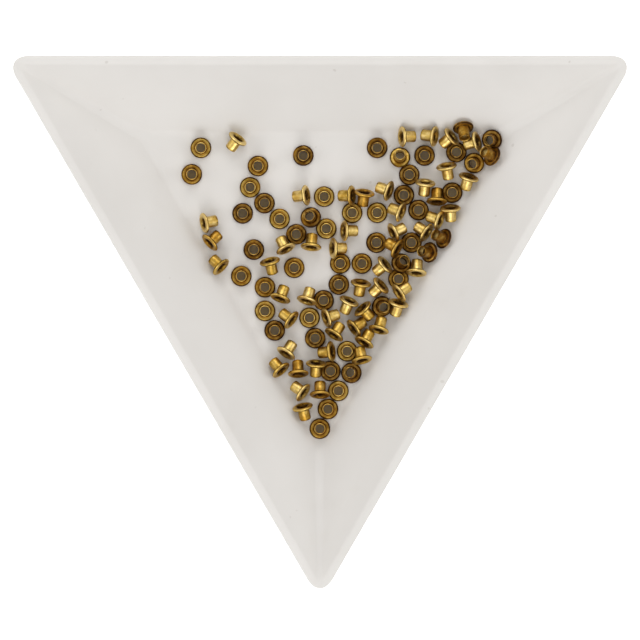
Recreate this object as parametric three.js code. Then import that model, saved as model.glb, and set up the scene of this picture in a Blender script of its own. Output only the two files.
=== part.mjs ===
// A three-sided sorting tray of white plastic with a pile of loose tubular brass rivets in it.
// Millimetres, +Z up. The origin is the middle of the tray's outline, at the height of its underside.
import * as THREE from "three";

// Tray
const TRAY_WIDTH = 88; // along X, over two rounded corners
const TRAY_DEPTH = 76.2; // along Y, from the flat side at +Y to the corner at -Y
const TRAY_HEIGHT = 10;
const FLOOR_THICKNESS = 1.2;
const WALL_THICKNESS = 1.1; // square to the sloping wall
const RIM_WIDTH = 1.1; // flat top of the wall
const WALL_INSET = 11.1; // from the rim's outer edge in to the floor
const RIM_CORNER = 1.8; // corner radii, seen from above
const RIM_INNER_CORNER = 0.8;
const FLOOR_CORNER = 1.3;
const EDGE_BREAK = 0.2; // rounding of the rim and foot edges
const FLOOR_FILLET = 0.45; // between the floor and the wall
const CORNER_STEPS = 6; // facets round each corner

// Rivet: the face of the head is at height 0 and the barrel points along +Z
const RIVET_LENGTH = 2.1;
const BARREL_RADIUS = 0.82;
const BORE_RADIUS = 0.64;
const HEAD_RADIUS = 1.5;
const HEAD_THICKNESS = 0.46;
const CREST_RADIUS = 1.08; // ring on which the head stands
const MOUTH_HEIGHT = 0.42; // where the bore opens into the rounded face
const CURL_RADIUS = 1.3; // crest of the rolled edge
const NECK_RADIUS = 1.06; // groove between the rolled edge and the flare
const GROOVE_HEIGHT = 0.34;
const NECK_HEIGHT = 0.6;
const RIVET_SIDES = 16;

// Pile
const GRIP_HEIGHT = 0.22; // point of a rivet's axis that the places below give
const CLEARANCE = 0.06; // smallest gap left between neighbours
const LYING_RISE = -20; // a rivet on its side rests on its head and the end of its barrel
const SETTLING_ROUNDS = 80;
const FALLING_ROUNDS = 60;
const FALL_STEP = 0.03;
const REACH = 5.2; // rivets farther apart than this can't touch

// Places of the rivets: x and y of the middle of the head, the direction in which the barrel
// points (degrees from +X towards +Y), and its rise above level. Free ones can be lifted
// straight out. Tucked ones lie with an edge under a neighbour and only take up room here.
const FREE_STANDING = [
  [-17.1, 25.0], [-18.4, 21.2], [-8.9, 22.4], [-10.0, 19.3], [-8.0, 17.1], [-2.4, 23.9],
  [0.6, 18.0], [-11.1, 15.6], [-5.8, 14.8], [-9.5, 10.4], [-11.3, 6.6], [-3.7, 7.8], [-7.9, 1.6],
  [-1.5, 0.6], [6.0, 8.4], [8.2, 25.0], [15.0, 23.9], [1.1, -12.6], [-0.3, -15.3],
];
const TUCKED_STANDING = [
  [-3.4, 12.6], [0.9, 13.4], [-7.9, 5.0], [2.9, 8.4], [-6.5, -1.2], [-0.7, -2.3], [0.5, 3.1],
  [19.6, 24.5], [12.8, 21.1], [11.9, 18.2], [18.9, 18.1], [4.6, 15.7], [8.2, 15.7], [14.1, 16.2],
  [8.1, 11.4], [13.1, 11.4], [11.3, 6.3], [3.9, -4.2], [1.6, -7.1], [2.6, -9.8], [2.7, 5.4],
];
const FREE_LEANING = [
  [-1.2, 14.9, 135, 80], [11.5, 23.4, 90, 77], [24.9, 23.9, 150, 41], [21.1, 28.3, -82, 36],
];
const TUCKED_LEANING = [
  [24.7, 26.8, 190, 75], [22.0, 22.8, 203, 78], [11.5, 7.9, 45, 57], [8.9, 2.2, -30, 80],
  [4.6, -7.1, 165, 82], [17.7, 12.1, 156, 41], [15.7, 10.0, 172, 50],
];
const FREE_LYING = [
  [-11.8, 26.3, -127], [-2.0, 18.2, -173], [-15.8, 11.4, 43], [-4.9, 10.5, 117], [-1.3, 10.8, 84],
  [-14.2, 7.9, 135], [-7.2, 8.7, -76], [-5.7, 3.4, 70], [-1.9, 3.1, 73], [-4.1, 0.3, 143],
  [11.8, 26.9, 1], [18.2, 22.4, -80], [21.2, 20.8, -107], [10.1, 18.6, 161], [15.1, 19.8, -97],
  [6.4, 18.5, -98], [11.8, 15.4, 159], [18.8, 16.2, -88], [3.5, 13.1, 0], [11.2, 10.1, 149],
  [1.9, 10.6, 0], [6.0, 5.5, -100], [11.5, 4.5, 35], [2.0, -1.8, 57], [-2.4, -10.1, 144],
  [1.7, -4.2, -173], [6.0, -5.4, 102], [-5.6, -6.9, 131], [0.0, -10.4, 90], [-2.5, -12.2, -76],
  [13.9, 7.2, 85], [4.2, 3.0, -114], [-3.0, -7.2, 93], [-0.5, -6.0, -94], [-16.6, 14.2, 12],
];
const TUCKED_LYING = [
  [16.4, 26.9, 172], [22.6, 26.1, -165], [4.7, 18.1, 180], [17.1, 14.8, 160], [10.5, 12.8, 25],
  [9.4, 8.3, -141], [8.8, 5.2, -137], [6.2, 2.0, -48], [11.3, 2.9, -107], [4.8, -1.0, 36],
  [8.4, -1.1, 75], [6.4, -2.8, 61], [16.9, 16.9, 88], [18.9, 26.8, -142], [15.3, 12.8, 146],
  [0.9, 0.6, 18], [-4.8, -4.6, 57],
];

const PLASTIC = new THREE.MeshStandardMaterial({ color: 0xdedbd7, roughness: 0.45, metalness: 0 });
const BRASS = new THREE.MeshStandardMaterial({ color: 0xa98430, roughness: 0.35, metalness: 1 });

// Sizes of the tray that follow from its driving dimensions. An inradius is the distance from
// the middle of the triangle to its sides.
const SQRT3 = Math.sqrt(3);
const sharpSide = TRAY_WIDTH + 2 * (SQRT3 - 1) * RIM_CORNER;
const rimInradius = sharpSide / (2 * SQRT3);
const squash = TRAY_DEPTH / (3 * rimInradius - RIM_CORNER); // the tray is a touch shallower than regular
const middleY = TRAY_DEPTH / 2 - rimInradius * squash;
const floorInradius = rimInradius - WALL_INSET;
const wallRun = WALL_INSET - RIM_WIDTH;
const wallRise = TRAY_HEIGHT - FLOOR_THICKNESS;
const wallSlope = wallRun / wallRise;
const wallWidth = WALL_THICKNESS * Math.hypot(1, wallSlope); // the wall's thickness along the level

function degrees(angle) {
  return (angle * Math.PI) / 180;
}

function insideWall(height) {
  return floorInradius + (height - FLOOR_THICKNESS) * wallSlope;
}

function outsideWall(height) {
  return insideWall(height) + wallWidth;
}

// A point of a triangle with rounded corners: its inradius, its corner radius and the step
// along the outline, which runs round the three corners one after the other.
function outlinePoint(inradius, corner, step) {
  const stepsPerCorner = CORNER_STEPS + 1;
  const cornerNumber = Math.floor(step / stepsPerCorner) % 3;
  const turn = (step % stepsPerCorner) / CORNER_STEPS;
  const towards = degrees(-90 + 120 * cornerNumber);
  const normal = towards + degrees(120 * (turn - 0.5));
  const reach = 2 * (inradius - corner);
  return [
    reach * Math.cos(towards) + corner * Math.cos(normal),
    (reach * Math.sin(towards) + corner * Math.sin(normal)) * squash,
  ];
}

// The tray is a lathe shape with a triangular outline. Each row of the profile is an inradius,
// a height and the corner radius there.
function trayGeometry() {
  const rimBottom = (rimInradius - floorInradius - wallWidth) / wallSlope + FLOOR_THICKNESS;
  const profile = [
    [0, 0, 0],
    [outsideWall(0) - EDGE_BREAK, 0, FLOOR_CORNER],
    [outsideWall(EDGE_BREAK), EDGE_BREAK, RIM_CORNER],
    [rimInradius, rimBottom, RIM_CORNER],
    [rimInradius, TRAY_HEIGHT - EDGE_BREAK, RIM_CORNER],
    [rimInradius - EDGE_BREAK, TRAY_HEIGHT, RIM_CORNER - EDGE_BREAK],
    [rimInradius - RIM_WIDTH, TRAY_HEIGHT, RIM_INNER_CORNER],
    [insideWall(FLOOR_THICKNESS + FLOOR_FILLET), FLOOR_THICKNESS + FLOOR_FILLET, FLOOR_CORNER],
    [floorInradius, FLOOR_THICKNESS + FLOOR_FILLET / 4, FLOOR_CORNER],
    [floorInradius - FLOOR_FILLET, FLOOR_THICKNESS, FLOOR_CORNER],
    [0, FLOOR_THICKNESS, 0],
  ];
  const steps = 3 * (CORNER_STEPS + 1);
  const points = profile.map(([inradius, height]) => new THREE.Vector2(inradius, height));
  const geometry = new THREE.LatheGeometry(points, steps);
  const place = geometry.getAttribute("position");
  for (let vertex = 0; vertex < place.count; vertex++) {
    const [inradius, height, corner] = profile[vertex % profile.length];
    const [x, y] = outlinePoint(inradius, corner, Math.floor(vertex / profile.length));
    place.setXYZ(vertex, x, y + middleY, height);
  }
  return geometry;
}

// One rivet: a thin tube that flares into a head with a rolled edge, open right through.
function rivetGeometry() {
  const profile = [
    [BORE_RADIUS, RIVET_LENGTH],
    [BORE_RADIUS, MOUTH_HEIGHT],
    [(BORE_RADIUS + CREST_RADIUS) / 2, MOUTH_HEIGHT / 6],
    [CREST_RADIUS, 0],
    [HEAD_RADIUS, HEAD_THICKNESS / 2],
    [CURL_RADIUS, HEAD_THICKNESS],
    [NECK_RADIUS, GROOVE_HEIGHT],
    [BARREL_RADIUS, NECK_HEIGHT],
    [BARREL_RADIUS, RIVET_LENGTH],
    [BORE_RADIUS, RIVET_LENGTH],
  ];
  const points = profile.map(([radius, height]) => new THREE.Vector2(radius, height));
  return new THREE.LatheGeometry(points, RIVET_SIDES).rotateX(Math.PI / 2);
}

// Rings round a rivet, as radius and height, where it may touch something.
const TOUCH_RINGS = [
  [CREST_RADIUS, 0],
  [HEAD_RADIUS - 0.03, 0.1],
  [HEAD_RADIUS, HEAD_THICKNESS / 2],
  [HEAD_RADIUS - 0.03, HEAD_THICKNESS],
  [0.95, NECK_HEIGHT],
  [BARREL_RADIUS, 0.9],
  [BARREL_RADIUS, 1.3],
  [BARREL_RADIUS, 1.7],
  [BARREL_RADIUS, RIVET_LENGTH],
];
const TOUCH_STEPS = 24;

// A rivet at its chosen place, resting on the tray's floor.
function layRivet(kind, free, [x, y, heading = 0, rise = 90]) {
  const turn = degrees(heading);
  const tilt = degrees(rise);
  const axis = new THREE.Vector3(
    Math.cos(tilt) * Math.cos(turn),
    Math.cos(tilt) * Math.sin(turn),
    Math.sin(tilt),
  );
  const pose = new THREE.Quaternion().setFromUnitVectors(new THREE.Vector3(0, 0, 1), axis);
  const skin = [];
  for (const [radius, height] of TOUCH_RINGS)
    for (let step = 0; step < TOUCH_STEPS; step++) {
      const around = (2 * Math.PI * step) / TOUCH_STEPS;
      const point = new THREE.Vector3(radius * Math.cos(around), radius * Math.sin(around), height);
      skin.push(point.applyQuaternion(pose));
    }
  const rest = FLOOR_THICKNESS + CLEARANCE - Math.min(...skin.map((point) => point.z));
  const at = new THREE.Vector3(x - GRIP_HEIGHT * axis.x, y - GRIP_HEIGHT * axis.y, rest);
  return { kind, free, axis, pose, skin, rest, at };
}

// Distance from a point (radius, height) to a cylinder round the axis, and the way out of it.
function toCylinder(radius, height, cylinderRadius, low, high) {
  const side = radius - cylinderRadius;
  const above = height - (low + high) / 2;
  const end = Math.abs(above) - (high - low) / 2;
  if (side > 0 && end > 0) {
    const distance = Math.hypot(side, end);
    return { distance, out: side / distance, up: (Math.sign(above) * end) / distance };
  }
  if (side > end) return { distance: side, out: 1, up: 0 };
  return { distance: end, out: 0, up: Math.sign(above) };
}

// Distance from a point of space to a rivet, and the direction straight away from it.
function toRivet(rivet, point) {
  const offset = new THREE.Vector3().subVectors(point, rivet.at);
  const height = offset.dot(rivet.axis);
  const outward = offset.addScaledVector(rivet.axis, -height);
  const radius = outward.length();
  outward.divideScalar(radius || 1);
  const shapes = [
    toCylinder(radius, height, HEAD_RADIUS, 0, HEAD_THICKNESS),
    toCylinder(radius, height, NECK_RADIUS, 0, NECK_HEIGHT),
    toCylinder(radius, height, BARREL_RADIUS, 0, RIVET_LENGTH),
  ];
  const nearest = shapes.reduce((best, shape) => (shape.distance < best.distance ? shape : best));
  const away = outward.multiplyScalar(nearest.out).addScaledVector(rivet.axis, nearest.up);
  return { distance: nearest.distance, away };
}

// The closest touch of two rivets, with the direction that takes the first from the second.
function closestTouch(first, second) {
  let closest = { distance: CLEARANCE, away: null };
  const point = new THREE.Vector3();
  for (const [one, other, sign] of [[first, second, 1], [second, first, -1]])
    for (const skinPoint of one.skin) {
      point.addVectors(skinPoint, one.at);
      if (point.distanceTo(other.at) > REACH / 2 + CLEARANCE) continue;
      const touch = toRivet(other, point);
      if (touch.distance < closest.distance)
        closest = { distance: touch.distance, away: touch.away.multiplyScalar(sign) };
    }
  return closest;
}

function separate(first, second) {
  if (first.at.distanceTo(second.at) > REACH) return;
  const touch = closestTouch(first, second);
  if (!touch.away) return;
  const push = (CLEARANCE - touch.distance) / 2 + 0.002;
  first.at.addScaledVector(touch.away, push);
  second.at.addScaledVector(touch.away, -push);
  for (const [low, other] of [[first, second], [second, first]]) {
    const sunk = Math.max(0, low.rest - low.at.z);
    low.at.z += sunk;
    other.at.z += sunk;
  }
}

function keepInside(rivet) {
  for (const side of [90, 210, 330]) {
    const outward = new THREE.Vector3(Math.cos(degrees(side)), Math.sin(degrees(side)), 0);
    const past = rivet.skin.map((point) => {
      const distance = (point.x + rivet.at.x) * outward.x + (point.y + rivet.at.y - middleY) * outward.y;
      return distance + CLEARANCE - insideWall(point.z + rivet.at.z);
    });
    rivet.at.addScaledVector(outward, -Math.max(0, ...past));
  }
}

// Lets the pile settle: rivets sink towards the floor, push each other clear and stay off the walls.
function settle(pile) {
  for (let round = 0; round < SETTLING_ROUNDS; round++) {
    const fall = round < FALLING_ROUNDS ? FALL_STEP : 0;
    for (const rivet of pile) rivet.at.z = Math.max(rivet.rest, rivet.at.z - fall);
    pile.forEach((rivet, number) => {
      for (const other of pile.slice(number + 1)) separate(rivet, other);
    });
    pile.forEach(keepInside);
  }
}

function rivetPile() {
  const layAll = (kind, free, places) => places.map((place) => layRivet(kind, free, place));
  const lying = ([x, y, heading]) => [x, y, heading, LYING_RISE];
  const pile = [
    ...layAll("standing", true, FREE_STANDING),
    ...layAll("leaning", true, FREE_LEANING),
    ...layAll("lying", true, FREE_LYING.map(lying)),
    ...layAll("standing", false, TUCKED_STANDING),
    ...layAll("leaning", false, TUCKED_LEANING),
    ...layAll("lying", false, TUCKED_LYING.map(lying)),
  ];
  settle(pile);
  return pile;
}

function rivetMeshes() {
  const geometry = rivetGeometry();
  const counts = {};
  return rivetPile()
    .filter((rivet) => rivet.free)
    .map((rivet) => {
      counts[rivet.kind] = (counts[rivet.kind] ?? 0) + 1;
      const mesh = new THREE.Mesh(geometry, BRASS);
      mesh.name = `rivet_${rivet.kind}_${String(counts[rivet.kind]).padStart(2, "0")}`;
      mesh.position.copy(rivet.at);
      mesh.quaternion.copy(rivet.pose);
      return mesh;
    });
}

const tray = new THREE.Mesh(trayGeometry(), PLASTIC);
tray.name = "sorting_tray";

const part = new THREE.Group();
part.add(tray, ...rivetMeshes());

export default part;
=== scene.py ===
"""A three-sided sorting tray with a pile of antiqued tube rivets, dressed round its CAD frame.

Metres, +Z up, in the CAD's own frame: the origin is the middle of the tray's outline, at the
height of its underside. The tray and every rivet that is a CAD node are replaced by finished
pieces in the same places. The rivets whose edges are caught under a neighbour are added here.
"""

import logging
import math
import random
from dataclasses import dataclass, field
from enum import Enum
from typing import Any, Optional, Union

import bpy
import numpy as np
from mathutils import Matrix, Vector


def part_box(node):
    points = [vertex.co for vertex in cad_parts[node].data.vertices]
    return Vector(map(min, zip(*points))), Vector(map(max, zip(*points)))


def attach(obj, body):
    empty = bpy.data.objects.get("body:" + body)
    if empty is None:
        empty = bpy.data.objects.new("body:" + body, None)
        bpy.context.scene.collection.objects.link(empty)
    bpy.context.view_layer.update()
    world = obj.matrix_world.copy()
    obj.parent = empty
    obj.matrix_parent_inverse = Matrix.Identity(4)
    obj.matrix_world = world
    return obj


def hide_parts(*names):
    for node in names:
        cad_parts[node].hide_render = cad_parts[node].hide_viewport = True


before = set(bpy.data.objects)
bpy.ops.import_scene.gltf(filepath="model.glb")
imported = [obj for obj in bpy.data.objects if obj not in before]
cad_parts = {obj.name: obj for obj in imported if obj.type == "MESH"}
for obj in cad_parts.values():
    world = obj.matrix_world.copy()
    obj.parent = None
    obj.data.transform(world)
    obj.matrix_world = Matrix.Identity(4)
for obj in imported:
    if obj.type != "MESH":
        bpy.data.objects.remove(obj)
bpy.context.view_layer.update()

log = logging.getLogger("rivet_tray")

MM = 0.001
TRAY_NODE = "sorting_tray"
TRAY_BODY = "tray"
SPIN_SEED = 7  # how far each rivet is turned about its own axis

TONE_SEED = 8  # which rivet gets which tone

# How often each kind of rivet has each tone. The shares paint light and shade by pose: a standing
# rivet, whose rolled edge looks dark, mostly gets the browner tones, and a lying one the paler
# ones.
TONE_SHARES_WITH_POSE_SHADE = {
    "standing": {"BROWN": 0.5, "AMBER": 0.25, "GOLD": 0.25},
    "leaning": {"BROWN": 0.5, "AMBER": 0.3, "GOLD": 0.2},
    "lying": {"PALE": 0.45, "GOLD": 0.45, "AMBER": 0.1},
}


# ---------------------------------------------------------------------------------------------
# Shader maths
# ---------------------------------------------------------------------------------------------


class Value:
    """A socket of a shader tree that can be used in Python arithmetic."""

    def __init__(self, graph: "Graph", socket: bpy.types.NodeSocket) -> None:
        """Wraps a socket.

        Args:
            graph: The graph that the socket is in.
            socket: An output socket that holds one number.
        """
        self.graph = graph
        self.socket = socket

    def _math(self, operation: str, first: "Number", second: "Number" = 0.0) -> "Value":
        """Adds a Math node.

        Args:
            operation: The node's operation.
            first: Its first input.
            second: Its second input.

        Returns:
            The node's result.
        """
        node = self.graph.add("ShaderNodeMath", {"operation": operation}, {0: first, 1: second})
        return Value(self.graph, node.outputs[0])

    def __add__(self, other: "Number") -> "Value":
        """Returns the sum."""
        return self._math("ADD", self, other)

    def __radd__(self, other: "Number") -> "Value":
        """Returns the sum."""
        return self._math("ADD", other, self)

    def __sub__(self, other: "Number") -> "Value":
        """Returns the difference."""
        return self._math("SUBTRACT", self, other)

    def __rsub__(self, other: "Number") -> "Value":
        """Returns the difference."""
        return self._math("SUBTRACT", other, self)

    def __mul__(self, other: "Number") -> "Value":
        """Returns the product."""
        return self._math("MULTIPLY", self, other)

    def __rmul__(self, other: "Number") -> "Value":
        """Returns the product."""
        return self._math("MULTIPLY", other, self)

    def __truediv__(self, other: "Number") -> "Value":
        """Returns the quotient."""
        return self._math("DIVIDE", self, other)

    def __pow__(self, other: "Number") -> "Value":
        """Returns the power."""
        return self._math("POWER", self, other)

    def least(self, other: "Number") -> "Value":
        """Returns the smaller of the two."""
        return self._math("MINIMUM", self, other)

    def most(self, other: "Number") -> "Value":
        """Returns the larger of the two."""
        return self._math("MAXIMUM", self, other)

    def clamped(self) -> "Value":
        """Returns the value held between 0 and 1."""
        return self.most(0.0).least(1.0)

    def step(self, low: float, high: float) -> "Value":
        """Ramps smoothly from 0 to 1.

        Args:
            low: The value that gives 0.
            high: The value that gives 1.

        Returns:
            The ramp.
        """
        node = self.graph.add(
            "ShaderNodeMapRange",
            {"interpolation_type": "SMOOTHSTEP", "clamp": True},
            {0: self, 1: low, 2: high, 3: 0.0, 4: 1.0},
        )
        return Value(self.graph, node.outputs[0])


Number = Union[Value, float]
Colour = tuple[float, float, float]


class Graph:
    """A material's node tree, built from a few plain calls."""

    def __init__(self, name: str) -> None:
        """Starts an empty material.

        Args:
            name: The material's name.
        """
        self.material = bpy.data.materials.new(name)
        self.material.use_nodes = True
        self.tree = self.material.node_tree
        self.tree.nodes.clear()

    def add(
        self,
        kind: str,
        settings: Optional[dict[str, Any]] = None,
        sockets: Optional[dict[Union[int, str], Any]] = None,
    ) -> bpy.types.Node:
        """Adds a node.

        Args:
            kind: The node's type name.
            settings: Its properties, which are set first.
            sockets: What goes into its inputs, by name or number: a number, a tuple, a Value or
                another node's socket.

        Returns:
            The new node.
        """
        node = self.tree.nodes.new(kind)
        for name, value in (settings or {}).items():
            setattr(node, name, value)
        for key, value in (sockets or {}).items():
            target = node.inputs[key]
            if isinstance(value, Value):
                value = value.socket
            if isinstance(value, bpy.types.NodeSocket):
                self.tree.links.new(value, target)
            elif isinstance(value, tuple) and len(value) == 3 and target.type == "RGBA":
                target.default_value = (*value, 1.0)
            else:
                target.default_value = value
        return node

    def mix(self, share: Number, first: Any, second: Any) -> bpy.types.NodeSocket:
        """Blends two colours.

        Args:
            share: How much of the second colour there is.
            first: The colour at 0.
            second: The colour at 1.

        Returns:
            The socket of the blended colour.
        """
        node = self.add(
            "ShaderNodeMix", {"data_type": "RGBA"}, {0: share, 6: first, 7: second}
        )
        return node.outputs[2]

    def place(self) -> bpy.types.NodeSocket:
        """Returns the place of a point in the row frame, in metres."""
        return self.add("ShaderNodeTexCoord").outputs["Object"]

    def stretched(self, place: bpy.types.NodeSocket, scale: Colour) -> bpy.types.NodeSocket:
        """Stretches coordinates.

        Args:
            place: The coordinates.
            scale: The factor along each axis.

        Returns:
            The stretched coordinates.
        """
        return self.add("ShaderNodeMapping", {}, {"Vector": place, "Scale": scale}).outputs[0]

    def attribute(self, name: str) -> bpy.types.Node:
        """Returns the node that reads a mesh attribute."""
        return self.add("ShaderNodeAttribute", {"attribute_name": name})

    def noise(
        self,
        place: bpy.types.NodeSocket,
        size: float,
        detail: float = 3.0,
        roughness: float = 0.5,
        distortion: float = 0.0,
    ) -> Value:
        """Adds a cloudy pattern.

        Args:
            place: The coordinates that it reads.
            size: The size of its lumps, in the unit of the coordinates.
            detail: How many finer layers it has.
            roughness: How strong the finer layers are.
            distortion: How far it is pulled about.

        Returns:
            The pattern, mostly from 0.3 to 0.7.
        """
        node = self.add(
            "ShaderNodeTexNoise",
            {},
            {
                "Vector": place,
                "Scale": 1.0 / size,
                "Detail": detail,
                "Roughness": roughness,
                "Distortion": distortion,
            },
        )
        return Value(self, node.outputs["Fac"])

    def bump(self, height: Number, depth: float, strength: float = 1.0) -> bpy.types.NodeSocket:
        """Turns a height pattern into a normal.

        Args:
            height: The pattern, 0 to 1.
            depth: The real depth of a full step, in metres.
            strength: How much of it shows.

        Returns:
            The socket of the bumped normal.
        """
        values = {"Strength": strength, "Distance": depth, "Height": height}
        node = self.add("ShaderNodeBump", {}, values)
        return node.outputs[0]

    def surface(self, sockets: dict[str, Any]) -> bpy.types.Material:
        """Ends the tree with one Principled surface.

        Args:
            sockets: What goes into the Principled node.

        Returns:
            The finished material.
        """
        shader = self.add("ShaderNodeBsdfPrincipled", {}, sockets)
        self.add("ShaderNodeOutputMaterial", {}, {"Surface": shader.outputs[0]})
        return self.material


# ---------------------------------------------------------------------------------------------
# Finishes
# ---------------------------------------------------------------------------------------------


class Tone(Enum):
    """How far the antique finish of a rivet has been rubbed back."""

    PALE = "pale"
    GOLD = "gold"
    AMBER = "amber"
    BROWN = "brown"


class ToneDraw:
    """Gives each rivet a tone by chance, as often as its kind has that tone, so that the tone also
    paints shade by pose.
    """

    def __init__(self) -> None:
        """Starts the row of draws."""
        self.random = random.Random(TONE_SEED)

    def draw(self, kind: str) -> Tone:
        """Returns the next rivet's tone, for a kind that is standing, leaning or lying."""
        # The shares by kind make standing rivets browner and lying ones paler: painted shade by
        # pose.
        shares = TONE_SHARES_WITH_POSE_SHADE[kind]
        return Tone[self.random.choices(list(shares), list(shares.values()))[0]]


@dataclass(frozen=True)
class TrayPlastic:
    """Smooth moulded white plastic with a satin sheen and light scuffing."""

    white: Colour = (0.70, 0.677, 0.648)
    shade: Colour = (0.668, 0.645, 0.615)
    smudge: Colour = (0.52, 0.47, 0.40)
    speck: Colour = (0.40, 0.36, 0.31)

    def material(self) -> bpy.types.Material:
        """Builds the material.

        Returns:
            The plastic's material.
        """
        graph = Graph("tray_plastic")
        place = graph.place()
        cloud = graph.noise(place, 22 * MM, 4.0, 0.55).step(0.35, 0.65)
        colour = graph.mix(cloud, self.white, self.shade)
        smudges = graph.noise(place, 9 * MM, 5.0, 0.6, 0.4).step(0.60, 0.80)
        colour = graph.mix(smudges * 0.10, colour, self.smudge)
        specks = graph.noise(place, 1.3 * MM, 1.0, 0.4).step(0.77, 0.82)
        colour = graph.mix(specks * 0.3, colour, self.speck)
        scuffs = self._scuffs(graph, place)
        roughness = 0.50 + cloud * 0.05 + scuffs * 0.16 + smudges * 0.06
        skin = graph.noise(place, 0.55 * MM, 2.0, 0.5)
        flow = graph.noise(place, 14 * MM, 2.0, 0.4)
        height = skin * 0.010 + flow * 0.30 + scuffs * -0.05
        return graph.surface(
            {
                "Base Color": colour,
                "Roughness": roughness.clamped(),
                "Normal": graph.bump(height, 0.12 * MM),
                "IOR": 1.49,
                "Specular IOR Level": 0.42,
                "Subsurface Weight": 0.0,
            }
        )

    def _scuffs(self, graph: Graph, place: bpy.types.NodeSocket) -> Value:
        """Fine rubbed lines that run two ways across the plastic.

        Args:
            graph: The graph to add to.
            place: The coordinates.

        Returns:
            The lines, 0 to 1.
        """
        one = graph.noise(graph.stretched(place, (1.0, 0.05, 1.0)), 0.22 * MM, 2.0, 0.6, 0.2)
        other = graph.noise(graph.stretched(place, (0.06, 1.0, 1.0)), 0.26 * MM, 2.0, 0.6, 0.2)
        where = graph.noise(place, 12 * MM, 2.0).step(0.48, 0.62)
        return (one.step(0.66, 0.76) + other.step(0.68, 0.78)).clamped() * where


@dataclass(frozen=True)
class AntiqueBrass:
    """Brass that was darkened and then rubbed back, so that it is bright on what stands out, with
    painted shade on the outer edges of its curl and of its barrel's end.
    """

    tone: Tone
    bright: Colour
    body: Colour
    dark: Colour
    rubbed: float
    fresh: Colour = (0.93, 0.70, 0.26)
    ruddy: Colour = (0.42, 0.20, 0.015)
    ruddy_share: float = 0.45
    blotch_size: float = 0.8 * MM
    ruddy_size: float = 1.7 * MM
    grain_size: float = 0.16 * MM
    drawn_size: float = 0.05 * MM
    grain_depth: float = 0.012 * MM

    def material(self) -> bpy.types.Material:
        """Builds the material. It reads two mesh attributes: wear_and_shade, which is 1 on crests,
        0 in recesses and low on the outer edges of the curl and of the barrel's end, where it
        paints shade, and own_place, the point's place on its own rivet in metres.

        Returns:
            The brass's material.
        """
        graph = Graph(f"antique_brass_{self.tone.value}")
        place = graph.place()
        own = graph.attribute("own_place").outputs["Vector"]
        # The first attribute holds rubbing, and painted shade on the outer edges of the curl and of
        # the barrel's end.
        wear_and_shade = Value(graph, graph.attribute("wear_and_shade").outputs["Fac"])
        blotch = graph.noise(place, self.blotch_size, 3.0, 0.55)
        ruddy = graph.noise(place, self.ruddy_size, 2.0, 0.5).step(0.50, 0.72)
        grain = graph.noise(place, self.grain_size, 3.0, 0.6)
        along = graph.stretched(own, (1.0, 1.0, 0.08))
        drawn = graph.noise(along, self.drawn_size, 2.0, 0.5)
        rub = wear_and_shade + (blotch - 0.5) * 1.9 + (grain - 0.5) * 0.6 + self.rubbed
        body = rub.step(-0.05, 0.50)
        bright = rub.step(0.50, 1.05)
        colour = graph.mix(body, self.dark, self.body)
        colour = graph.mix(bright, colour, self.bright)
        colour = graph.mix(ruddy * self.ruddy_share, colour, self.ruddy)
        colour = graph.mix(wear_and_shade.step(1.3, 1.6), colour, self.fresh)
        roughness = 0.49 - body * 0.08 - bright * 0.05 + (grain - 0.5) * 0.3 + (drawn - 0.5) * 0.12
        height = drawn * 0.5 + grain * 0.5
        return graph.surface(
            {
                "Base Color": colour,
                "Metallic": (0.88 + body * 0.12).clamped(),
                "Roughness": roughness.clamped(),
                "Normal": graph.bump(height, self.grain_depth),
            }
        )


FINISHES = (
    AntiqueBrass(Tone.PALE, (0.80, 0.60, 0.23), (0.56, 0.38, 0.095), (0.075, 0.035, 0.004), 0.12),
    AntiqueBrass(Tone.GOLD, (0.66, 0.45, 0.12), (0.41, 0.245, 0.038), (0.055, 0.023, 0.002), 0.08),
    AntiqueBrass(Tone.AMBER, (0.58, 0.36, 0.075), (0.31, 0.155, 0.018), (0.05, 0.019, 0.002), 0.04),
    AntiqueBrass(
        Tone.BROWN, (0.46, 0.28, 0.065), (0.20, 0.092, 0.012), (0.035, 0.012, 0.002), -0.02
    ),
)


# ---------------------------------------------------------------------------------------------
# Modelling helpers
# ---------------------------------------------------------------------------------------------


def only(piece: bpy.types.Object) -> None:
    """Leaves one object selected and active."""
    bpy.ops.object.select_all(action="DESELECT")
    piece.select_set(True)
    bpy.context.view_layer.objects.active = piece


def smooth(piece: bpy.types.Object, angle: float) -> None:
    """Shades a piece smooth where its faces meet at less than an angle in degrees."""
    only(piece)
    bpy.ops.object.shade_smooth_by_angle(angle=math.radians(angle))


# ---------------------------------------------------------------------------------------------
# The tray
# ---------------------------------------------------------------------------------------------


@dataclass(frozen=True)
class Ring:
    """One level of the tray's wall: a triangle with rounded corners."""

    inradius: float
    corner: float
    height: float


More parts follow.
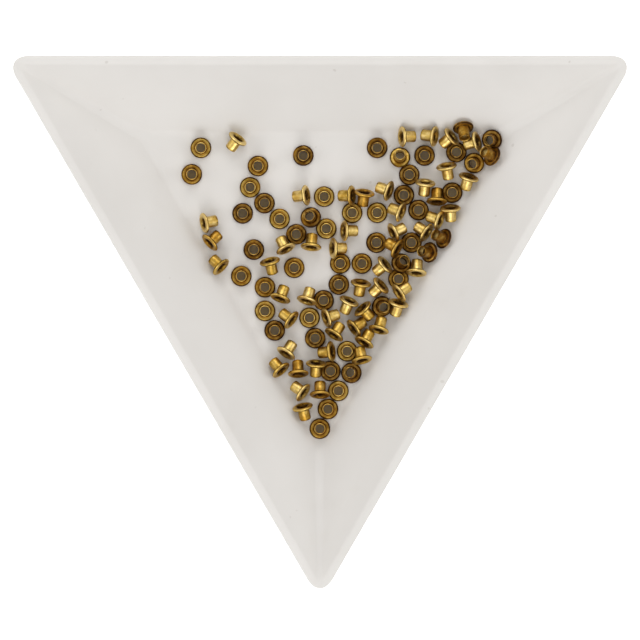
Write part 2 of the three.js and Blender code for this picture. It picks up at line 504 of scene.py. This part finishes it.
@dataclass
class SortingTray:
    """The moulded tray: a floor, three sloping walls and a narrow flat rim."""

    floor_top: float = 1.2 * MM
    wall_thickness: float = 1.1 * MM
    rim_width: float = 1.1 * MM
    wall_inset: float = 11.1 * MM
    outer_corner: float = 1.8 * MM
    inner_corner: float = 0.5 * MM
    floor_corner: float = 1.1 * MM
    rim_roll: float = 0.30 * MM
    rim_ease: float = 0.45 * MM
    floor_fillet: float = 0.7 * MM
    foot_edge: float = 0.3 * MM
    rim_edge: float = 0.25 * MM
    flat_margin: float = 2.0 * MM
    corner_steps: int = 12
    box: tuple[Vector, Vector] = field(default_factory=lambda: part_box(TRAY_NODE))

    def __post_init__(self) -> None:
        """Works out the triangle from the CAD tray's box."""
        low, high = self.box
        root3 = math.sqrt(3)
        self.height = high.z
        self.rim_inradius = ((high.x - low.x) + 2 * (root3 - 1) * self.outer_corner) / (2 * root3)
        self.squash = (high.y - low.y) / (3 * self.rim_inradius - self.outer_corner)
        self.middle_y = high.y - self.rim_inradius * self.squash
        self.floor_inradius = self.rim_inradius - self.wall_inset
        rise = self.height - self.floor_top
        self.slope = (self.wall_inset - self.rim_width) / rise
        self.wall_width = self.wall_thickness * math.hypot(1, self.slope)

    def inside_wall(self, height: float) -> float:
        """Returns the inradius of the inner wall at a height."""
        return self.floor_inradius + (height - self.floor_top) * self.slope

    def rings(self) -> list[Ring]:
        """The levels of the wall, from the underside up the outside, over the rim and down to the
        floor. Every edge between them is turned through a small round.

        Returns:
            The rings, in order.
        """
        rim_inner = self.rim_inradius - self.rim_width
        rim_bottom = self.floor_top + (
            self.rim_inradius - self.floor_inradius - self.wall_width
        ) / self.slope
        foot = Ring(self.inside_wall(0.0) + self.wall_width, self.outer_corner, 0.0)
        corners = (
            (foot, self.foot_edge, 3),
            (Ring(self.rim_inradius, self.outer_corner, rim_bottom), self.rim_edge, 3),
            (Ring(self.rim_inradius, self.outer_corner, self.height), self.rim_roll, 5),
            (Ring(rim_inner, self.inner_corner, self.height), self.rim_ease, 5),
            (Ring(self.floor_inradius, self.floor_corner, self.floor_top), self.floor_fillet, 5),
        )
        bottom = Ring(foot.inradius - self.flat_margin, self.outer_corner, 0.0)
        middle = Ring(self.floor_inradius - self.flat_margin, self.floor_corner, self.floor_top)
        sharp = [bottom, *(ring for ring, _, _ in corners), middle]
        found = [bottom]
        for before, (ring, reach, steps), after in zip(sharp, corners, sharp[2:]):
            found += self._turn(before, ring, after, reach, steps)
        return found + [middle]

    def _turn(self, before: Ring, at: Ring, after: Ring, reach: float, steps: int) -> list[Ring]:
        """Rounds one edge of the wall's section.

        Args:
            before: The ring before the edge.
            at: The edge.
            after: The ring after it.
            reach: How far from the edge the round starts.
            steps: How many rings the round has.

        Returns:
            The rings of the round.
        """
        corner = np.array((at.inradius, at.corner, at.height))
        ends = []
        for other in (before, after):
            way = np.array((other.inradius, other.corner, other.height)) - corner
            ends.append(corner + way * (reach / math.hypot(way[0], way[2])))
        found = []
        for step in range(steps):
            share = step / (steps - 1)
            near = ends[0] * (1 - share) + corner * share
            far = corner * (1 - share) + ends[1] * share
            found.append(Ring(*(near * (1 - share) + far * share)))
        return found

    def build(self) -> bpy.types.Object:
        """Models the tray: each ring is a triangle with its corners bevelled round, and each pair
        of rings is bridged.

        Returns:
            The finished tray.
        """
        rings = self.rings()
        bpy.ops.object.select_all(action="DESELECT")
        bpy.ops.mesh.primitive_circle_add(
            vertices=3, radius=2 * rings[0].inradius, fill_type="NGON", rotation=(0, 0, math.pi)
        )
        tray = bpy.context.object
        tray.name = "moulded_tray"
        only(tray)
        bpy.ops.object.transform_apply(location=True, rotation=True, scale=True)
        bpy.ops.object.mode_set(mode="EDIT")
        bpy.ops.mesh.select_all(action="SELECT")
        self._round_ring(rings[0])
        for ring in rings[1:]:
            bpy.ops.mesh.primitive_circle_add(
                vertices=3,
                radius=2 * ring.inradius,
                fill_type="NGON",
                location=(0, 0, ring.height),
                rotation=(0, 0, math.pi),
            )
            self._round_ring(ring)
        for lower in range(len(rings) - 1):
            self._choose_rings(tray, lower, lower + 1)
            bpy.ops.mesh.bridge_edge_loops()
        for end in (0, len(rings) - 1):
            self._choose_rings(tray, end)
            bpy.ops.mesh.edge_face_add()
        bpy.ops.object.vertex_group_remove(all=True)
        bpy.ops.mesh.select_all(action="SELECT")
        bpy.ops.transform.resize(value=(1, self.squash, 1), center_override=(0, 0, 0))
        bpy.ops.transform.translate(value=(0, self.middle_y, 0))
        bpy.ops.mesh.normals_make_consistent(inside=False)
        bpy.ops.object.mode_set(mode="OBJECT")
        smooth(tray, 20)
        return tray

    def _round_ring(self, ring: Ring) -> None:
        """Rounds the selected triangle's corners and leaves it as a loop in a group of its own."""
        bpy.ops.mesh.bevel(
            offset=ring.corner / (math.sqrt(3) * (1 - math.sqrt(0.5))),
            offset_type="OFFSET",
            segments=self.corner_steps,
            profile=0.5,
            affect="VERTICES",
            clamp_overlap=False,
        )
        bpy.ops.object.vertex_group_add()
        bpy.ops.object.vertex_group_assign()
        bpy.ops.mesh.delete(type="ONLY_FACE")

    def _choose_rings(self, tray: bpy.types.Object, *numbers: int) -> None:
        """Selects the loops of some rings.

        Args:
            tray: The tray, in edit mode.
            numbers: The numbers of the rings.
        """
        bpy.ops.mesh.select_all(action="DESELECT")
        for number in numbers:
            tray.vertex_groups.active_index = number
            bpy.ops.object.vertex_group_select()

    def dress(self, tray: bpy.types.Object) -> None:
        """Gives the tray its finish and puts it on its body.

        Args:
            tray: The modelled tray.
        """
        tray.data.materials.clear()
        tray.data.materials.append(TrayPlastic().material())
        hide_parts(TRAY_NODE)
        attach(tray, TRAY_BODY)


# ---------------------------------------------------------------------------------------------
# The rivets
# ---------------------------------------------------------------------------------------------


@dataclass
class RivetShape:
    """One tube rivet, with the face of its head at height 0 and its barrel along +Z."""

    length: float = 2.1 * MM
    barrel_radius: float = 0.82 * MM
    bore_radius: float = 0.66 * MM
    head_radius: float = 1.50 * MM
    head_thickness: float = 0.46 * MM
    crest_radius: float = 1.12 * MM
    mouth_height: float = 0.42 * MM
    groove_depth: float = 0.07 * MM
    neck_height: float = 0.60 * MM
    neck_reach: float = 0.18 * MM
    sides: int = 28

    def rows(self) -> list[tuple[float, float, float]]:
        """The outline of the rivet's wall, once round: down the bore, over the rounded face and
        its curled edge, along the groove behind the curl, and up the outside to the barrel's end.

        Returns:
            Radius, height and wear of each row of vertices.
        """
        bore, barrel, end = self.bore_radius, self.barrel_radius, self.length
        crest = self.crest_radius
        flare = crest - bore
        half = 0.5 * self.head_thickness
        roll = (self.head_radius - crest, half)
        mouth = self.mouth_height
        groove = barrel + self.groove_depth
        neck = (groove, self.neck_height)
        sweep = (groove - barrel, self.neck_reach)
        rows = [
            (bore, end - 0.10 * MM, 1.1),
            (bore, 0.6 * end, 1.7),
            (bore, mouth + 0.50 * MM, 1.7),
            (bore, mouth + 0.34 * MM, -0.3),
        ]
        rows += self._arc((crest, mouth), (flare, mouth), (180, 262), 7, (-0.5, 0.75))
        rows += self._arc((crest, half), roll, (278, 350), 5, (0.95, 0.8))
        # The outer edge of the curl is set dark: painted shade for the dark outline round the head.
        rows += self._arc((crest, half), roll, (0, 50), 4, (0.3, -0.4))
        rows += self._arc((crest, half), roll, (68, 122), 4, (0.65, 0.9))
        rows += [(groove, self.head_thickness - 0.06 * MM, -0.5)]
        rows += self._arc(neck, sweep, (255, 180), 4, (0, 0.6))
        rows += [
            (barrel, 0.5 * end, 0.65),
            (barrel, end - 0.36 * MM, 0.65),
            # The rounded edge of the barrel's end is set dark: painted shade for a dark outline
            # there.
            (barrel - 0.008 * MM, end - 0.14 * MM, 0.25),
            (barrel - 0.03 * MM, end - 0.04 * MM, 0.2),
            (barrel - 0.06 * MM, end, 0.95),
            (bore + 0.03 * MM, end - 0.02 * MM, 0.95),
        ]
        return rows

    def _arc(
        self,
        middle: tuple[float, float],
        reach: tuple[float, float],
        turn: tuple[float, float],
        count: int,
        wear_and_shade: tuple[float, float],
    ) -> list[tuple[float, float, float]]:
        """Rows along part of an ellipse.

        Args:
            middle: Radius and height of its middle.
            reach: Its half width and half height.
            turn: Where it starts and ends, in degrees from straight out towards +Z.
            count: How many rows it has.
            wear_and_shade: The wear at its start and its end.

        Returns:
            Radius, height and wear of each row.
        """
        found = []
        for step in range(count):
            share = step / (count - 1)
            angle = math.radians(turn[0] + (turn[1] - turn[0]) * share)
            found.append(
                (
                    middle[0] + reach[0] * math.cos(angle),
                    middle[1] + reach[1] * math.sin(angle),
                    wear_and_shade[0] + (wear_and_shade[1] - wear_and_shade[0]) * share,
                )
            )
        return found

    def build(self) -> bpy.types.Object:
        """Models the rivet at the origin.

        Returns:
            The rivet that the others are copied from.
        """
        rows = self.rows()
        radius, height, _ = rows[0]
        bpy.ops.object.select_all(action="DESELECT")
        bpy.ops.mesh.primitive_circle_add(
            vertices=self.sides, radius=radius, fill_type="NOTHING", location=(0, 0, height)
        )
        rivet = bpy.context.object
        rivet.name = "rivet_master"
        only(rivet)
        bpy.ops.object.transform_apply(location=True, rotation=True, scale=True)
        bpy.ops.object.mode_set(mode="EDIT")
        bpy.ops.mesh.select_all(action="SELECT")
        for next_radius, next_height, _ in [*rows[1:], rows[0]]:
            bpy.ops.mesh.extrude_region_move(
                TRANSFORM_OT_translate={"value": (0, 0, next_height - height)}
            )
            ratio = next_radius / radius
            bpy.ops.transform.resize(value=(ratio, ratio, 1), center_override=(0, 0, next_height))
            radius, height = next_radius, next_height
        bpy.ops.mesh.select_all(action="SELECT")
        bpy.ops.mesh.remove_doubles(threshold=0.0005 * MM)
        bpy.ops.mesh.normals_make_consistent(inside=False)
        bpy.ops.object.mode_set(mode="OBJECT")
        self._mark(rivet, rows)
        smooth(rivet, 60)
        return rivet

    def _mark(self, rivet: bpy.types.Object, rows: list[tuple[float, float, float]]) -> None:
        """Writes the attributes that the brass reads.

        Args:
            rivet: The modelled rivet.
            rows: The rows it was made from.
        """
        mesh = rivet.data
        places = np.array([v.co for v in mesh.vertices])
        radii = np.hypot(places[:, 0], places[:, 1])
        outline = np.array(rows)
        gap = np.hypot(
            radii[:, None] - outline[None, :, 0], places[:, 2][:, None] - outline[None, :, 1]
        )
        # Each point takes the rubbing and painted shade of its nearest row.
        wear_and_shade = outline[gap.argmin(1), 2]
        own = mesh.attributes.new("own_place", "FLOAT_VECTOR", "POINT")
        own.data.foreach_set("vector", places.astype(np.float32).ravel())
        marks = mesh.attributes.new("wear_and_shade", "FLOAT", "POINT")
        marks.data.foreach_set("value", wear_and_shade.astype(np.float32))


# ---------------------------------------------------------------------------------------------
# The pile
# ---------------------------------------------------------------------------------------------


@dataclass
class RivetPlace:
    """Where a rivet lies: the middle of its face, and the way its barrel points."""

    at: np.ndarray
    axis: np.ndarray

    def matrix(self, spin: float) -> Matrix:
        """Returns the matrix that takes a rivet from the origin to its place, spun on its axis."""
        turn = Vector((0, 0, 1)).rotation_difference(Vector(self.axis)).to_matrix().to_4x4()
        return Matrix.Translation(Vector(self.at)) @ turn @ Matrix.Rotation(spin, 4, "Z")


def place_of_node(node: bpy.types.Object) -> RivetPlace:
    """Reads a CAD rivet's place from its mesh.

    Args:
        node: The CAD node of a rivet.

    Returns:
        Its place.
    """
    points = np.unique(np.round([v.co for v in node.data.vertices], 7), axis=0)
    middle = points.mean(0)
    spreads, ways = np.linalg.eigh(np.cov((points - middle).T))
    axis = ways[:, 2 if spreads[2] - spreads[1] > spreads[1] - spreads[0] else 0]
    along = (points - middle) @ axis
    radii = np.linalg.norm((points - middle) - np.outer(along, axis), axis=1)
    if (radii * along).sum() > 0:  # the head is the wide end
        axis, along = -axis, -along
    return RivetPlace(middle + axis * along.min(), axis)


@dataclass
class TuckedPile:
    """The rivets that are caught under a neighbour. Each is chosen by the place of its head and
    the way it points, and sinks among the CAD's rivets until it rests clear of them."""

    tray: SortingTray
    shape: RivetShape
    neighbours: list[RivetPlace]
    grip_height: float = 0.22 * MM
    clearance: float = 0.03 * MM
    lying_rise: float = -20.0
    rounds: int = 50
    fall: float = 0.03 * MM
    standing: tuple[tuple[float, float], ...] = (
        (-3.4, 12.6), (0.9, 13.4), (-7.9, 5.0), (2.9, 8.4), (-6.5, -1.2), (-0.7, -2.3),
        (0.5, 3.1), (19.6, 24.5), (12.8, 21.1), (11.9, 18.2), (18.9, 18.1), (4.6, 15.7),
        (8.2, 15.7), (14.1, 16.2), (8.1, 11.4), (13.1, 11.4), (11.3, 6.3), (3.9, -4.2),
        (1.6, -7.1), (2.6, -9.8), (2.7, 5.4),
    )
    leaning: tuple[tuple[float, float, float, float], ...] = (
        (24.7, 26.8, 190, 75), (22.0, 22.8, 203, 78), (11.5, 7.9, 45, 70), (8.9, 2.2, -30, 80),
        (4.6, -7.1, 165, 82), (17.7, 12.1, 156, 41), (15.7, 10.0, 172, 50),
    )
    lying: tuple[tuple[float, float, float], ...] = (
        (16.4, 26.9, 172), (22.6, 26.1, -165), (4.7, 18.1, 180), (17.1, 14.8, 160),
        (10.5, 12.8, 25), (9.4, 8.3, -141), (8.8, 5.2, -137), (6.2, 2.0, -48),
        (11.3, 2.9, -107), (4.8, -1.0, 36), (8.4, -1.1, 75), (6.4, -2.8, 61),
        (16.9, 16.9, 88), (18.9, 26.8, -142), (15.3, 12.8, 146), (0.9, 0.6, 18),
        (-4.8, -4.6, 57),
    )

    def kinds(self) -> list[str]:
        """Returns the kind of every tucked rivet, in the order in which they are laid."""
        rows = {"standing": self.standing, "leaning": self.leaning, "lying": self.lying}
        return [kind for kind, places in rows.items() for _ in places]

    def chosen(self) -> list[RivetPlace]:
        """Lays every tucked rivet at its chosen place on the tray's floor.

        Returns:
            The places to start from.
        """
        rows = [(x, y, 0.0, 90.0) for x, y in self.standing]
        rows += self.leaning
        rows += [(x, y, heading, self.lying_rise) for x, y, heading in self.lying]
        found = []
        for x, y, heading, rise in rows:
            turn, tilt = math.radians(heading), math.radians(rise)
            axis = np.array(
                (math.cos(tilt) * math.cos(turn), math.cos(tilt) * math.sin(turn), math.sin(tilt))
            )
            at = np.array((x, y, 0.0)) * MM - self.grip_height * axis
            place = RivetPlace(at, axis)
            place.at[2] = self.rest(place)
            found.append(place)
        return found

    def skin(self, axis: np.ndarray) -> np.ndarray:
        """Points all over a rivet, from the middle of its face.

        Args:
            axis: The way its barrel points.

        Returns:
            The points, in rows.
        """
        s = self.shape
        rings = [(0.8 * s.head_radius, 0.0), (s.head_radius, 0.5 * s.head_thickness)]
        rings += [(0.98 * s.head_radius, share * s.head_thickness) for share in (0.2, 1.0)]
        rings += [(s.barrel_radius, share * s.length) for share in (0.35, 0.5, 0.65, 0.8, 1.0)]
        side = np.cross(axis, (0.0, 0.0, 1.0) if abs(axis[2]) < 0.9 else (1.0, 0.0, 0.0))
        side /= np.linalg.norm(side)
        around = np.linspace(0, 2 * math.pi, 20, endpoint=False)
        circle = np.outer(np.cos(around), side) + np.outer(np.sin(around), np.cross(axis, side))
        return np.concatenate([radius * circle + height * axis for radius, height in rings])

    def rest(self, place: RivetPlace) -> float:
        """Returns the height of a rivet's face when it touches the floor."""
        return self.tray.floor_top + self.clearance - self.skin(place.axis)[:, 2].min()

    def touch(self, points: np.ndarray, rivet: RivetPlace) -> tuple[float, np.ndarray]:
        """Finds how near some points come to a rivet.

        Args:
            points: The points, in rows.
            rivet: The rivet, taken as a disc on a rod.

        Returns:
            The least distance, which is negative inside, and the way out there.
        """
        offset = points - rivet.at
        height = offset @ rivet.axis
        outward = offset - np.outer(height, rivet.axis)
        radius = np.linalg.norm(outward, axis=1)
        outward /= np.maximum(radius, 1e-9)[:, None]
        best, way = math.inf, rivet.axis
        for wide, tall in (
            (self.shape.head_radius, self.shape.head_thickness),
            (self.shape.barrel_radius, self.shape.length),
        ):
            side = radius - wide
            above = height - tall / 2
            end = np.abs(above) - tall / 2
            corner = (side > 0) & (end > 0)
            distance = np.where(corner, np.hypot(side, end), np.maximum(side, end))
            nearest = int(distance.argmin())
            if distance[nearest] >= best:
                continue
            best = float(distance[nearest])
            upward = rivet.axis * math.copysign(1.0, above[nearest])
            if corner[nearest]:
                way = (outward[nearest] * side[nearest] + upward * end[nearest]) / best
            else:
                way = outward[nearest] if side[nearest] > end[nearest] else upward
        return best, way

    def settle(self) -> list[RivetPlace]:
        """Lets the tucked rivets sink, and pushes them clear of each other and of the CAD's.

        Returns:
            The places where they come to rest.
        """
        moving = self.chosen()
        skins = [self.skin(place.axis) for place in moving]
        rests = [self.rest(place) for place in moving]
        fixed = [(place, self.skin(place.axis)) for place in self.neighbours]
        reach = 2 * math.hypot(self.shape.length, self.shape.head_radius)
        for count in range(self.rounds):
            for number, (place, skin) in enumerate(zip(moving, skins)):
                place.at[2] = max(rests[number], place.at[2] - self.fall)
                others = list(zip(moving[number + 1 :], skins[number + 1 :])) + fixed
                for other_number, (other, other_skin) in enumerate(others):
                    if np.linalg.norm(place.at - other.at) > reach:
                        continue
                    near, way = self.touch(skin + place.at, other)
                    back, back_way = self.touch(other_skin + other.at, place)
                    if back < near:
                        near, way = back, -back_way
                    if near >= self.clearance:
                        continue
                    push = self.clearance - near
                    if other_number < len(moving) - number - 1:
                        other.at = other.at - way * push / 2
                        push /= 2
                    place.at = place.at + way * push
            for place, skin, rest in zip(moving, skins, rests):
                place.at = self.inside(place.at, skin)
                place.at[2] = max(place.at[2], rest)
        return moving

    def inside(self, at: np.ndarray, skin: np.ndarray) -> np.ndarray:
        """Moves a rivet off the walls.

        Args:
            at: The middle of its face.
            skin: The points all over it, from there.

        Returns:
            The middle of its face, moved.
        """
        for side in (90, 210, 330):
            outward = np.array((math.cos(math.radians(side)), math.sin(math.radians(side)), 0.0))
            points = skin + at - (0.0, self.tray.middle_y, 0.0)
            past = points @ outward + self.clearance - self.tray.inside_wall(points[:, 2])
            at = at - outward * max(0.0, float(past.max()))
        return at


class RivetMaker:
    """Copies the modelled rivet to each place and gives every copy one of the brass tones."""

    def __init__(self, shape: RivetShape) -> None:
        """Models the rivet.

        Args:
            shape: The sizes of the rivet.
        """
        self.master = shape.build()
        self.finishes = {finish.tone: finish.material() for finish in FINISHES}
        self.random = random.Random(SPIN_SEED)

    def copy(self, name: str, place: RivetPlace, body: str, tone: Tone) -> bpy.types.Object:
        """Makes one finished rivet.

        Args:
            name: The name of the copy.
            place: Where it lies.
            body: The body that it moves with.
            tone: How far it is rubbed back.

        Returns:
            The rivet.
        """
        rivet = self.master.copy()
        rivet.data = self.master.data.copy()
        rivet.name = name
        bpy.context.scene.collection.objects.link(rivet)
        rivet.data.transform(place.matrix(self.random.uniform(0, 2 * math.pi)))
        rivet.data.materials.append(self.finishes[tone])
        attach(rivet, body)
        return rivet

    def finish(self) -> None:
        """Removes the rivet that the others were copied from."""
        bpy.data.objects.remove(self.master)


# ---------------------------------------------------------------------------------------------
# The studio
# ---------------------------------------------------------------------------------------------


@dataclass(frozen=True)
class SoftBox:
    """A large soft light that points at the tray."""

    azimuth: float
    elevation: float
    distance: float
    width: float
    power: float

    def build(self, name: str) -> None:
        """Adds the light.

        Args:
            name: The light's name.
        """
        data = bpy.data.lights.new(name, "AREA")
        data.shape = "SQUARE"
        data.size = self.width
        data.energy = self.power
        light = bpy.data.objects.new(name, data)
        bpy.context.scene.collection.objects.link(light)
        turn, tilt = math.radians(self.azimuth), math.radians(self.elevation)
        way = Vector(
            (math.cos(tilt) * math.sin(turn), -math.cos(tilt) * math.cos(turn), math.sin(tilt))
        )
        light.location = way * self.distance
        light.rotation_euler = way.to_track_quat("Z", "Y").to_euler()


@dataclass
class Studio:
    """A white table under soft light, seen from straight above."""

    table_size: float = 4.0
    table_white: float = 0.95
    table_glow: float = 0.3
    sky_low: float = 0.42
    sky_high: float = 0.70
    sky_middle: tuple[float, float, float, float] = (0.94, 0.975, 1.0, 0.42)
    camera_height: float = 3.0
    shown_width: float = 91.577 * MM
    aim_y: float = 0.3 * MM
    sensor: float = 36.0
    boxes: tuple[SoftBox, ...] = (
        SoftBox(0, 40, 0.6, 0.40, 1.35),
        SoftBox(90, 30, 0.6, 0.40, 0.78),
        SoftBox(180, 40, 0.6, 0.40, 1.2),
        SoftBox(270, 30, 0.6, 0.40, 0.78),
    )

    def build(self, rim_height: float) -> None:
        """Adds the table, the lights and the camera.

        Args:
            rim_height: The height of the tray's rim, where the shown width is measured.
        """
        bpy.ops.object.select_all(action="DESELECT")
        bpy.ops.mesh.primitive_plane_add(size=self.table_size, location=(0, 0, 0))
        table = bpy.context.object
        table.name = "studio_table"
        graph = Graph("pale_table")
        grain = graph.noise(graph.place(), 3 * MM, 2.0)
        white = (self.table_white,) * 3
        table.data.materials.append(
            graph.surface(
                {
                    "Base Color": white,
                    "Roughness": 0.85 + grain * 0.1,
                    "Emission Color": white,
                    "Emission Strength": self.table_glow,
                }
            )
        )
        for number, box in enumerate(self.boxes):
            box.build(f"soft_box_{number + 1}")
        world = bpy.data.worlds.new("studio_sky")
        world.use_nodes = True
        tree = world.node_tree
        way = tree.nodes.new("ShaderNodeTexCoord")
        parts = tree.nodes.new("ShaderNodeSeparateXYZ")
        ramp = tree.nodes.new("ShaderNodeMapRange")
        ramp.inputs["To Min"].default_value = self.sky_low
        ramp.inputs["To Max"].default_value = self.sky_high
        shade = tree.nodes.new("ShaderNodeMapRange")
        shade.interpolation_type = "SMOOTHSTEP"
        for name, value in zip(("From Min", "From Max", "To Min", "To Max"), self.sky_middle):
            shade.inputs[name].default_value = value
        product = tree.nodes.new("ShaderNodeMath")
        product.operation = "MULTIPLY"
        tree.links.new(way.outputs["Generated"], parts.inputs[0])
        tree.links.new(parts.outputs["Z"], ramp.inputs["Value"])
        tree.links.new(parts.outputs["Z"], shade.inputs["Value"])
        tree.links.new(ramp.outputs[0], product.inputs[0])
        tree.links.new(shade.outputs[0], product.inputs[1])
        tree.links.new(product.outputs[0], tree.nodes["Background"].inputs["Strength"])
        tree.nodes["Background"].inputs["Color"].default_value = (1.0, 1.0, 1.0, 1.0)
        bpy.context.scene.world = world
        bpy.context.scene.view_settings.view_transform = "Standard"
        self._add_camera(rim_height)

    def _add_camera(self, rim_height: float) -> None:
        """Adds the camera that looks straight down.

        Args:
            rim_height: The height where the shown width is measured.
        """
        data = bpy.data.cameras.new("overhead_camera")
        data.sensor_width = self.sensor
        data.lens = self.sensor * (self.camera_height - rim_height) / self.shown_width
        camera = bpy.data.objects.new("overhead_camera", data)
        bpy.context.scene.collection.objects.link(camera)
        camera.location = (0, self.aim_y, self.camera_height)
        bpy.context.scene.camera = camera


def main() -> None:
    """Builds the tray, the rivets and the studio."""
    logging.basicConfig(level=logging.INFO, format="%(message)s")
    tray_maker = SortingTray()
    tray = tray_maker.build()
    tray_maker.dress(tray)
    log.info("tray: %d faces", len(tray.data.polygons))

    shape = RivetShape()
    maker = RivetMaker(shape)
    log.info("rivet: %d faces", len(maker.master.data.polygons))
    tones = ToneDraw()
    nodes = sorted(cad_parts.items())
    places = {name: place_of_node(node) for name, node in nodes if name != TRAY_NODE}
    for name, place in places.items():
        rivet = maker.copy(f"antiqued_{name}", place, name, tones.draw(name.split("_")[1]))
        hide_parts(name)
    log.info("rivets in the CAD's places: %d", len(places))
    pile = TuckedPile(tray_maker, shape, list(places.values()))
    tucked = zip(pile.settle(), pile.kinds())
    for number, (place, kind) in enumerate(tucked):
        maker.copy(f"tucked_rivet_{number + 1:02d}", place, TRAY_BODY, tones.draw(kind))
    log.info("tucked rivets: %d", len(pile.kinds()))
    maker.finish()

    Studio().build(tray_maker.height)


if __name__ == "__main__":
    main()
